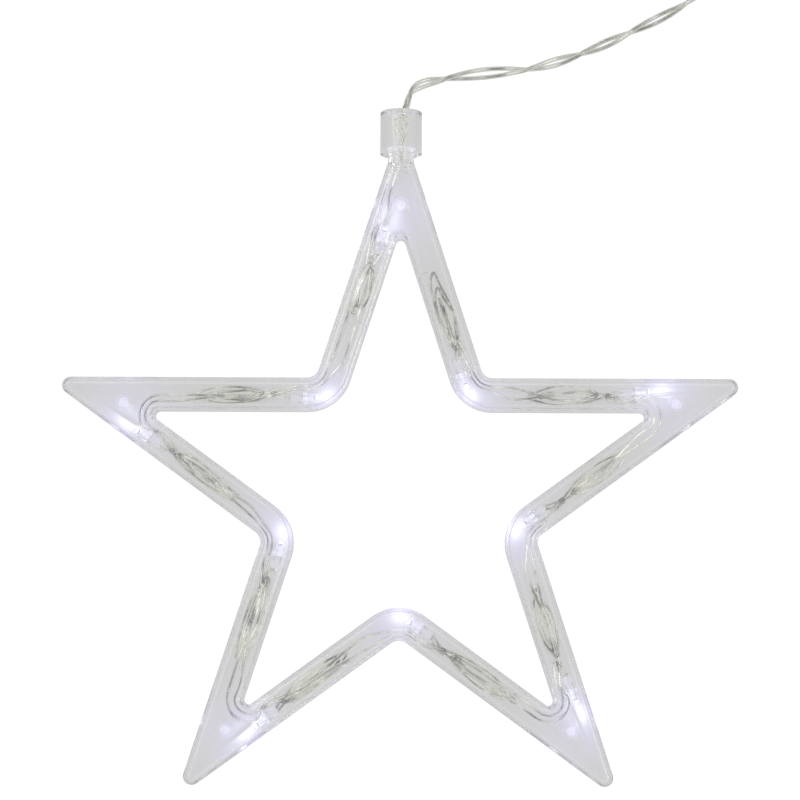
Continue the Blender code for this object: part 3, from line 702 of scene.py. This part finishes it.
def add_cradles(shell):
    """Base bosses, and the two notched ribs that hold each lamp."""
    bosses, ribs, cradles = bmesh.new(), bmesh.new(), bmesh.new()
    for x, y in boss_centres():
        add_rod(bosses, (x, y, WALL / 2), (x, y, MID_Z - TOUCH), BOSS_RADIUS)
    for arm in range(10):
        start, aside = lamp_place(arm)
        frame = arm_frame(arm)
        wall = BAND / 2 - WALL + TOUCH
        near, far = (aside - RIB_REACH, wall) if aside > 0 else (-wall, aside + RIB_REACH)
        for offset in RIB_OFFSETS:
            middle = start + offset
            add_box(ribs, (middle - RIB_THICKNESS / 2, near, WALL / 2),
                    (middle + RIB_THICKNESS / 2, far, MID_Z - TOUCH), frame)
        front, rear = (frame @ Vector((start + place, aside, MID_Z)) for place in CRADLE_SPAN)
        add_rod(cradles, front, rear, CRADLE_RADIUS + TOUCH / 2, 24)
        guide = GUIDE_PLACES[arm % 2]
        add_box(ribs, (guide - RIB_THICKNESS / 2, 0.9 * MM, WALL / 2),
                (guide + RIB_THICKNESS / 2, wall, GUIDE_TOP), frame)
        for place, half in zip(BAR_PLACES[arm % 2], BAR_HALVES):
            add_box(ribs, (place - half, -wall, WALL / 2), (place + half, wall, BAR_TOP), frame)
    cut_or_join(shell, bosses, "UNION")
    cut_or_join(shell, ribs, "UNION")
    cut_or_join(shell, cradles, "DIFFERENCE")


# ---------------------------------------------------------------- free lead

def lead_route():
    """The free lead's centreline in millimetres: out of the cap, through the coil, to the case."""
    exit_y = (STAR_Y + CAP_END) / MM
    out = [(0.4, exit_y - 1.2, 6.35), (0.9, exit_y, 6.35), (1.6, 103.4, 5.9), (2.3, 106.5, 4.7),
           (3.2, 108.7, 3.5), (5.2, 110.4, 2.5), (7.8, 111.6, 1.8), (10.9, 112.3, 1.55),
           (14.9, 113.1, 1.55), (21.0, 114.0, 1.55), (27.1, 114.7, 1.55), (33.2, 115.3, 1.55),
           (39.4, 116.0, 1.55), (48.5, 118.5, 1.55), (56.5, 121.3, 1.55), (63.9, 124.5, 1.55),
           (70.9, 127.9, 1.55), (79.2, 132.0, 1.55), (85.4, 135.5, 1.55), (90.0, 138.8, 1.6),
           (93.4, 143.0, 1.9), (95.8, 149.0, 2.2), (97.4, 156.5, 2.4)]
    back = [(66.5, 185.4, 5.0), (60.0, 184.8, 3.8), (54, 183.6, 3.0), (48.6, 181.5, 2.8),
            (43.5, 178.6, 3.8), (38.5, 176.4, 5.6), (33.4, 176, 6.5)]
    coil = []
    steps = round(COIL_TURNS * 16)
    for i in range(steps + 1):
        turns = i * COIL_TURNS / steps
        radius, z = coil_section(turns)
        angle = 2 * math.pi * turns
        coil.append((COIL_CENTRE[0] / MM + radius * math.cos(angle),
                     COIL_CENTRE[1] / MM + radius * math.sin(angle), z))
    return smooth_route([Vector(p) * MM for p in out + coil + back], 1.0 * MM)


def coil_section(turns):
    """(radius, z) in mm of the winding after so many turns: three below, the rest on top."""
    lower, upper = 2.4, 5.35
    radii = COIL_RADII + COIL_UPPER_RADII
    level = min(int(turns), 4)
    change = max(0.0, (turns - level - 0.75) / 0.25)
    share = change * change * (3 - 2 * change)
    following = radii[min(level + 1, 4)]
    radius = radii[level] + (following - radii[level]) * share
    z = lower if level < 3 else upper
    if level == 2:
        z = lower + (upper - lower) * share
    return radius, z


def free_lead(insulation, copper):
    route = even_route(lead_route(), 1.0 * MM)
    pair = twisted(route)
    cover, cores = bmesh.new(), bmesh.new()
    for wire in pair:
        add_tube(cover, wire, WIRE_RADIUS, 12)
        add_tube(cores, wire, CORE_RADIUS, 8)
    lead = add_piece("twisted_lead", mesh_from("twisted_lead", cover, 80), insulation,
                     ["cord_lead", "cord_coil", "cord_tail"])
    core = add_piece("lead_cores", mesh_from("lead_cores", cores, 80), copper, [])


# ---------------------------------------------------------------- star's small pieces

def rounded_edge(profile, radius, steps=8):
    """Rounds the corners of a closed (radius, distance) profile."""
    points = [Vector(p) for p in profile]
    made = []
    for i, corner in enumerate(points):
        before, after = points[i - 1] - corner, points[(i + 1) % len(points)] - corner
        cut = min(radius, before.length * 0.45, after.length * 0.45)
        first, last = corner + before.normalized() * cut, corner + after.normalized() * cut
        for j in range(steps + 1):
            t = j / steps
            made.append(tuple(first * (1 - t) ** 2 + corner * 2 * t * (1 - t) + last * t * t))
    return made + [made[0]]


def neck_cap(material):
    end, shelf, ceiling = (value - CAP_START for value in (CAP_END, CAP_SHELF, CAP_CEILING))
    profile = rounded_edge([
        (CAP_RADIUS, 0), (CAP_RADIUS, end), (CAP_HOLE, end), (CAP_HOLE, ceiling),
        (CAP_CHAMBER, ceiling), (CAP_CHAMBER, shelf), (CAP_SOCKET, shelf), (CAP_SOCKET, 0)],
        CAP_RIM)
    bm = bmesh.new()
    add_turned(bm, profile, (0, STAR_Y + CAP_START, MID_Z), (0, 1, 0), 64)
    mesh = mesh_from("clear_cap", bm)
    # painted lamp glow, with a painted ring of light on the cap's shelf
    add_painted_glow(mesh, lambda place: PAINTED_SHELF_GLOW * (abs(place.y - STAR_Y - CAP_SHELF) < 0.5 * MM))
    add_piece("clear_cap", mesh, material, ["neck_cap"])


def locating_pins(material):
    top = PIN_TOP - MID_Z
    for number, (x, y) in enumerate(boss_centres(), 1):
        bm = bmesh.new()
        profile = [(PIN_RADIUS - 0.15 * MM, 0), (PIN_RADIUS, 0.15 * MM),
                   (PIN_RADIUS, top - 0.45 * MM), (PIN_RADIUS - 0.12 * MM, top - 0.2 * MM),
                   (PIN_RADIUS - 0.4 * MM, top)]
        add_turned(bm, profile, (x, y, MID_Z), (0, 0, 1), 32)
        mesh = mesh_from(f"clear_pin_{number:02d}", bm)
        # painted lamp glow, with painted glow over the whole pin
        add_painted_glow(mesh, lambda place: PAINTED_PIN_GLOW)
        add_piece(mesh.name, mesh, material, [f"locating_pin_{number:02d}"])


def lamp_lens(material):
    """Domed lenses with their flange."""
    for arm in range(10):
        start, aside = lamp_place(arm)
        rear = arm_point(arm, start + LAMP_LENGTH, aside)
        forward = arm_point(arm, start, aside) - rear
        body = LAMP_LENGTH - LAMP_RADIUS
        profile = [(LAMP_FLANGE_RADIUS - 0.1 * MM, 0), (LAMP_FLANGE_RADIUS, 0.1 * MM),
                   (LAMP_FLANGE_RADIUS, LAMP_FLANGE - 0.1 * MM),
                   (LAMP_FLANGE_RADIUS - 0.1 * MM, LAMP_FLANGE), (LAMP_RADIUS, LAMP_FLANGE)]
        for degrees in range(0, 85, 12):
            angle = math.radians(degrees)
            profile.append((LAMP_RADIUS * math.cos(angle), body + LAMP_RADIUS * math.sin(angle)))
        bm = bmesh.new()
        add_turned(bm, profile, rear, forward, 24)
        add_piece(f"lens_{arm + 1:02d}", mesh_from("lens", bm), material,
                  [f"lamp_{arm + 1:02d}"])


def lamp_insides(steel, chip):
    """Each lamp's two legs, its reflector cup and the lit chip in it."""
    for arm in range(10):
        start, aside = lamp_place(arm)
        frame = arm_frame(arm)
        legs, lit = bmesh.new(), bmesh.new()
        for side in (-1, 1):
            y = aside + side * LEG_ASIDE
            add_box(legs, (start + 2.1 * MM, y - LEG_HALF, MID_Z - LEG_HALF),
                    (start + LAMP_LENGTH + LEG_PAST, y + LEG_HALF, MID_Z + LEG_HALF), frame)
        cup_rear, cup_front, chip_front = (
            frame @ Vector((start + place, aside + CHIP_ASIDE, MID_Z))
            for place in (2.2 * MM, 1.5 * MM, 1.2 * MM))
        add_rod(legs, cup_rear, cup_front, 0.35 * MM, 16, 0.6 * MM)
        add_rod(lit, cup_front, chip_front, 0.42 * MM, 12, 0.3 * MM)
        add_piece(f"lamp_legs_{arm + 1:02d}", mesh_from("legs", legs), steel, [])
        add_piece(f"lamp_chip_{arm + 1:02d}", mesh_from("chip", lit), chip, [])


def boots(material):
    """The clear sleeve over each lamp's legs, gathered to the wires at its rear."""
    for arm in range(10):
        start, aside = lamp_place(arm)
        rear = arm_point(arm, start + LAMP_LENGTH + TOUCH + BOOT_LENGTH, aside)
        forward = arm_point(arm, start, aside) - rear
        profile = [(BOOT_RADIUS * 0.78, 0), (BOOT_RADIUS * 0.9, 0.25 * MM), (BOOT_RADIUS, 0.9 * MM),
                   (BOOT_RADIUS * 0.97, BOOT_LENGTH * 0.6), (BOOT_RADIUS, BOOT_LENGTH - 0.2 * MM),
                   (BOOT_RADIUS - 0.15 * MM, BOOT_LENGTH)]
        bm = bmesh.new()
        add_turned(bm, profile, rear, forward, 20)
        mesh = mesh_from("boot", bm)
        # painted lamp glow, as emission on the sleeve
        add_painted_glow(mesh)
        add_piece(f"boot_{arm + 1:02d}", mesh, material, [f"lamp_boot_{arm + 1:02d}"])


# ---------------------------------------------------------------- harness

def boot_rear(arm):
    return lamp_place(arm)[0] + LAMP_LENGTH + TOUCH + BOOT_LENGTH


def wire_point(arm, along, aside, lift=0.0):
    """A point of a wire, in millimetres along its arm, to the side and above half depth."""
    return arm_point(arm, along * MM, aside * MM, MID_Z + lift * MM)


def folded_slack(arm, wire):
    """One wire, from its lamp's boot forwards through the arm's slack, back and forwards again."""
    chance = random.Random(40 + 2 * arm + wire)
    first, last = FOLDS[arm]
    side = 1 if arm % 3 else -1
    apart = 0.6 if wire else -0.6
    if wire:
        first += chance.uniform(0.5, 2.5)
        last -= chance.uniform(1.5, 5.0)
        wide = chance.uniform(1.1, 1.9)
    else:
        wide = chance.uniform(2.1, 2.7)
    start = boot_rear(arm) / MM

    def run(shares, aside, lift):
        for share in shares:
            bow = 0.35 + 0.65 * math.sin(math.pi * share)
            yield wire_point(arm, first + (last - first) * share + chance.uniform(-0.8, 0.8),
                             aside * bow + chance.uniform(-0.4, 0.4),
                             lift + chance.uniform(-0.5, 0.5))

    route = [wire_point(arm, start - 0.6, lamp_place(arm)[1] / MM + apart * 0.8),
             wire_point(arm, start + 2.6, apart, 0.2),
             wire_point(arm, max(first - 1.0, start + 4.6), -apart, 0.3)]
    route += run((0.25, 0.55, 0.85), side * wide, -2.2)
    route.append(wire_point(arm, last, side * wide * 0.2, -1.2))
    route += run((0.85, 0.55, 0.25), -side * wide, 0.0)
    route.append(wire_point(arm, first + 0.6, chance.uniform(-0.4, 0.4), 1.2))
    route += run((0.3, 0.65), side * chance.uniform(-1.0, 1.6), 2.4)
    return route


def round_corner(arm, wire):
    """Past an inner corner beside the outer wall, and past the next lamp."""
    chance = random.Random(70 + arm)
    split = chance.uniform(0.9, 1.8) * (1 if wire else -1)
    apart = 0.53 if wire else -0.53
    aside = -PAIR_ASIDE / MM + 0.2
    centre_angle = 90 + 36 * (arm + 1)
    centre = polar(TIP_RADIUS * CORNER_RATIO + CORNER_ROUND / math.cos(2 * HALF_TIP), centre_angle)
    radius = CORNER_ROUND + BAND / 2 + aside * MM
    route = [wire_point(arm, 56.5, split - 0.4, apart),
             wire_point(arm, 61.5, aside + 0.9 + split * 0.8, 0)]
    for turn in (-30, 0, 30):
        place = centre + polar(radius + apart * MM * 1.3, centre_angle + 180 - turn)
        route.append(Vector((place.x, place.y + STAR_Y, MID_Z + apart * MM)))
    route.append(wire_point(arm + 1, 8, aside + apart, -apart * 0.5))
    route.append(wire_point(arm + 1, boot_rear(arm + 1) / MM - 1.0, aside + 0.2 + apart, apart))
    route.append(wire_point(arm + 1, boot_rear(arm + 1) / MM + 5.5, apart - 0.4, 0.8))
    return route


def round_opening_tip(arm, wire):
    """Past a tip, close round the tip of the opening, and past the next lamp."""
    chance = random.Random(20 + arm)
    split = chance.uniform(0.7, 1.2) * (1 if wire else -1)
    apart = 0.6 if wire else -0.6
    aside = PAIR_ASIDE / MM
    axis = 90 + 36 * (arm + 1)
    opening_tip = TIP_RADIUS - BAND / math.sin(HALF_TIP)
    centre = polar(opening_tip - OPENING_TIP_ROUND / math.sin(HALF_TIP), axis)
    radius = OPENING_TIP_ROUND + BAND / 2 - PAIR_ASIDE + 1.2 * MM
    route = [wire_point(arm, 46, aside - 1.2 - split * 1.2, 0.3)]
    for turn in (-62, -22, 22, 62):
        place = centre + polar(radius + split * MM, axis + turn)
        route.append(Vector((place.x, place.y + STAR_Y, MID_Z + apart * 0.7 * MM)))
    route.append(wire_point(arm + 1, boot_rear(arm + 1) / MM - 1.5, aside - 0.2 + apart, 0.2))
    route.append(wire_point(arm + 1, boot_rear(arm + 1) / MM + 4.5, 0.3 + apart, 0.8))
    return route


def add_wires(name, pair, insulation, copper, node):
    """The two wires of one stretch of harness, in their insulation."""
    covers, cores = bmesh.new(), bmesh.new()
    for route in pair:
        line = even_route(smooth_route(route, 0.6 * MM), 0.8 * MM)
        add_tube(covers, line, WIRE_RADIUS - 0.05 * MM, 12)
        add_tube(cores, line, CORE_RADIUS, 7)
    mesh = mesh_from("wires", covers, 80)
    # painted lamp glow, as emission on the insulation
    add_painted_glow(mesh)
    add_piece(f"wires_{name}", mesh, insulation, [node])
    add_piece(f"wire_cores_{name}", mesh_from("cores", cores, 80), copper, [])


def harness(insulation, copper):
    entry = ((0.15, 111.4, 1.7, 0.0), (0.2, 109.8, 1.1, 0.35), (0.25, 108.0, 0.25, 0.66),
             (0.2, 105.5, 0.1, 0.68), (0.0, 102.5, 0.1, 0.68), (-0.4, 100.4, 0.4, 0.6),
             (-2.0, 97.9, 0.8, 0.2), (-4.5, 90.9, 1.1, 0.0), (-5.1, 87.3, 1.25, 0.0),
             (-5.8, 82.7, 0.75, 0.0))
    pair = []
    for side in (-1, 1):
        route = [Vector((x + side * apart, STAR_Y / MM + y, MID_Z / MM + side * lift)) * MM
                 for x, y, apart, lift in entry]
        route.append(wire_point(0, 19, -PAIR_ASIDE / MM + side * 0.6, side * 0.5))
        route.append(wire_point(0, boot_rear(0) / MM + 5.0, -0.6 + side * 0.6))
        pair.append(route)
    add_wires("00", pair, insulation, copper, "wire_run_00")
    for arm in range(9):
        onward = round_opening_tip if arm % 2 else round_corner
        pair = [folded_slack(arm, wire) + onward(arm, wire) for wire in range(2)]
        add_wires(f"{arm + 1:02d}", pair, insulation, copper, f"wire_run_{arm + 1:02d}")
    last = [folded_slack(9, wire) for wire in range(2)]
    add_wires("10", last, insulation, copper, "wire_run_10")


def knot(insulation):
    """An overhand knot in the lead, drawn tight under the cap's ceiling."""
    covers = bmesh.new()
    for side in (-1, 1):
        line = []
        for i in range(49):
            t = 2 * math.pi * (0.08 + 0.84 * i / 48)
            x = 0.5 * (math.sin(t) + 2 * math.sin(2 * t))
            z = 0.5 * (math.cos(t) - 2 * math.cos(2 * t))
            y = -0.75 * math.sin(3 * t)
            line.append(Vector((x * 1.15 + side * 0.15, (STAR_Y + KNOT_CENTRE) / MM
                                + z * 1.45 + side * 0.2, MID_Z / MM + y + side * 0.55)) * MM)
        add_tube(covers, line, 0.55 * MM, 10)
    add_piece("tied_knot", mesh_from("knot", covers, 80), insulation, ["cord_knot"])


# ---------------------------------------------------------------- tie and battery case

def coil_tie(material):
    """The tie drawn round the coil, with its ends twisted together outside it."""
    gap = 0.7 * MM
    left, right = (COIL_RADII[-1] - 1.5) * MM - gap, (COIL_RADII[0] + 1.5) * MM + gap
    low, high = 0.45 * MM, COIL_TOP + gap
    across = Vector((math.cos(TIE_ANGLE), math.sin(TIE_ANGLE), 0))
    centre = Vector((*COIL_CENTRE, 0))
    corners = [(left, low), (right, low), (right, 4.3 * MM), (18.8 * MM, high),
               (14.7 * MM, high), (left, 4.6 * MM)]
    points = [Vector(p) for p in rounded_edge(corners, 1.6 * MM, 6)]
    line = [centre + across * p.x + Vector((0, 0, p.y)) for p in points[:-1]]
    line.append(line[0])
    bm = bmesh.new()
    add_tube(bm, line, TIE_RADIUS, 10)
    for turned in (0, math.pi):
        tail = []
        for i in range(41):
            angle = turned + 2 * math.pi * TIE_TURNS * i / 40
            off = (Vector((-across.y, across.x, 0)) * math.cos(angle)
                   + Vector((0, 0, math.sin(angle))))
            tail.append(centre + across * (right + 0.2 * MM * i) + Vector((0, 0, TIE_END_Z))
                        + off * TIE_APART)
        add_tube(bm, tail, TIE_RADIUS, 10)
    add_piece("coil_tie", mesh_from("coil_tie", bm, 80), material, ["cord_tie"])


def case_point(x, y, z):
    return Vector((CASE_CENTRE[0] + x, CASE_CENTRE[1] + y, z))


def springs_and_plates(material):
    """Coned springs with flat end turns."""
    for number in range(3):
        side = -1 if number % 2 == 0 else 1
        y = (number - 1) * CELL_PITCH
        spring_wall, plate_wall = BAY_X if side < 0 else BAY_X[::-1]
        wire = 0.4 * MM
        line = []
        for i in range(145):
            t = i / 144
            rise = min(max((t - 0.12) / 0.76, 0), 1)
            radius = (4.4 - 1.8 * t) * MM
            angle = 2 * math.pi * 4 * t
            x = spring_wall - side * (TOUCH + wire + (SPRING_LENGTH - 2 * wire) * rise)
            line.append(case_point(x, y + radius * math.cos(angle),
                                   CELL_HEIGHT + radius * math.sin(angle)))
        bm = bmesh.new()
        add_tube(bm, line, wire, 10)
        add_piece(f"spring_{number + 1:02d}", mesh_from("spring", bm, 80), material,
                  [f"contact_spring_{number + 1:02d}"])


def dress_cad(frame, names, material, bevel):
    """Gives CAD nodes that keep their shape rounded edges and a proper material."""
    for name in names:
        node = frame["nodes"][name]
        node.data.materials.clear()
        node.data.materials.append(material)
        weld = node.modifiers.new("weld", "WELD")
        weld.merge_threshold = 0.01 * MM
        edges = node.modifiers.new("edges", "BEVEL")
        edges.width = bevel
        edges.segments = 3
        edges.limit_method = "ANGLE"
        edges.angle_limit = math.radians(40)
        edges.harden_normals = True


# ---------------------------------------------------------------- camera, lights, floor

def set_camera():
    """Almost straight above the star: its top leans 5.6 degrees away, as in the photograph."""
    distance = 817 * MM
    width = 240 * MM             # what the picture spans at the star's mid-plane
    data = bpy.data.cameras.new("camera")
    data.sensor_width = 36
    data.lens = 36 * distance / width
    data.clip_start = 0.01
    data.clip_end = 20
    camera = bpy.data.objects.new("camera", data)
    lean = (Matrix.Rotation(-0.004, 4, "Z") @ Matrix.Rotation(-0.0076, 4, "Y")
            @ Matrix.Rotation(-0.0984, 4, "X"))
    camera.matrix_world = (Matrix.Translation((0, STAR_Y, MID_Z)) @ lean.inverted()
                           @ Matrix.Translation((0.18 * MM, 28.27 * MM, distance)))
    bpy.context.scene.collection.objects.link(camera)
    bpy.context.scene.camera = camera


def set_light():
    """A soft white room that darkens towards the horizon, and two soft boxes."""
    scene = bpy.context.scene
    scene.view_settings.view_transform = "Standard"
    scene.view_settings.look = "None"
    world = bpy.data.worlds.new("studio")
    scene.world = world
    world.use_nodes = True
    tree = world.node_tree
    where = tree.nodes.new("ShaderNodeTexCoord")
    split = tree.nodes.new("ShaderNodeSeparateXYZ")
    ramp = tree.nodes.new("ShaderNodeValToRGB")
    ramp.color_ramp.elements[0].position = 0.0
    ramp.color_ramp.elements[0].color = (0.66, 0.66, 0.66, 1)
    ramp.color_ramp.elements[1].position = 0.8
    ramp.color_ramp.elements[1].color = (0.8, 0.8, 0.8, 1)
    tree.links.new(where.outputs["Generated"], split.inputs["Vector"])
    tree.links.new(split.outputs["Z"], ramp.inputs["Fac"])
    tree.links.new(ramp.outputs["Color"], tree.nodes["Background"].inputs["Color"])
    for name, place, size, power in (("box_left", (-0.5, 0.35, 0.6), 0.3, 0.7),
                                     ("box_right", (0.55, -0.1, 0.5), 0.25, 0.55)):
        data = bpy.data.lights.new(name, "AREA")
        data.size = size
        data.energy = power
        light = bpy.data.objects.new(name, data)
        light.location = place
        light.rotation_euler = (-Vector(place)).to_track_quat("-Z", "Y").to_euler()
        scene.collection.objects.link(light)
    cycles = scene.cycles
    cycles.max_bounces = 48
    cycles.transmission_bounces = 48
    cycles.glossy_bounces = 8
    cycles.diffuse_bounces = 4
    cycles.transparent_max_bounces = 16
    cycles.sample_clamp_indirect = 4.0


def set_floor():
    """A white table. It shows as the pure white that the photograph's backdrop was cleared to,
    and lights the object with the pale grey that the clear parts show."""
    made = bpy.data.materials.new("white_sweep")
    made.use_nodes = True
    tree = made.node_tree
    shader = tree.nodes["Principled BSDF"]
    shader.inputs["Base Color"].default_value = (0.05, 0.05, 0.05, 1)
    shader.inputs["Roughness"].default_value = 0.9
    shader.inputs["Specular IOR Level"].default_value = 0.0
    shader.inputs["Emission Color"].default_value = (1, 1, 1, 1)
    seen = tree.nodes.new("ShaderNodeLightPath")
    level = tree.nodes.new("ShaderNodeMapRange")
    level.inputs["To Min"].default_value = FLOOR_LIGHT
    level.inputs["To Max"].default_value = 1.0
    tree.links.new(seen.outputs["Is Camera Ray"], level.inputs["Value"])
    tree.links.new(level.outputs["Result"], shader.inputs["Emission Strength"])
    bpy.ops.mesh.primitive_plane_add(size=6.0, location=(0, 0, FLOOR_Z))
    floor = bpy.context.object
    floor.name = "floor"
    floor.data.materials.append(made)


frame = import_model()
set_camera()
set_light()
set_floor()
styrene = clear_plastic()
# last numbers: strength of the painted lamp glow in the insulation and in the sleeve
insulation = clear_pvc("clear_pvc", (0.95, 0.95, 0.88), (0.985, 0.985, 0.95), 0.1)
sleeve = clear_pvc("clear_sleeve", (0.96, 0.97, 0.96), (0.99, 0.99, 0.99), 0.2, 1.35)
# tinned copper: random dark and bright patches, partly the strands' own tone and partly painted
# highlights and shade
copper = metal("tinned_copper", (0.34, 0.34, 0.32), (0.98, 0.98, 0.95), 0.25, 120.0, 0.01 * MM,
               0.12)
steel = metal("nickel_plate", (0.62, 0.61, 0.58), (0.8, 0.79, 0.77), 0.25, 250.0, 0.02 * MM)
white = moulded("white_abs", (0.8, 0.8, 0.79), (0.83, 0.83, 0.82), 0.38)
black = moulded("black_abs", (0.012, 0.012, 0.013), (0.03, 0.03, 0.032), 0.42)
tie = moulded("white_tie", (0.8, 0.8, 0.78), (0.9, 0.9, 0.88), 0.5)
free_lead(insulation, copper)
half_shell("clear_front_half", "front_shell", True, styrene)
half_shell("clear_back_half", "back_shell", False, styrene)
neck_cap(styrene)
locating_pins(styrene)
lamp_lens(lit_lens())
lamp_insides(steel, lit_chip())
boots(sleeve)
harness(insulation, copper)
knot(insulation)
coil_tie(tie)
springs_and_plates(steel)
dress_cad(frame, ["battery_case", "battery_cover", "cord_gland"], white, 0.35 * MM)
dress_cad(frame, ["switch_slider"], black, 0.15 * MM)
dress_cad(frame, ["switch_body", "contact_plate_01", "contact_plate_02", "contact_plate_03"], steel,
          0.12 * MM)
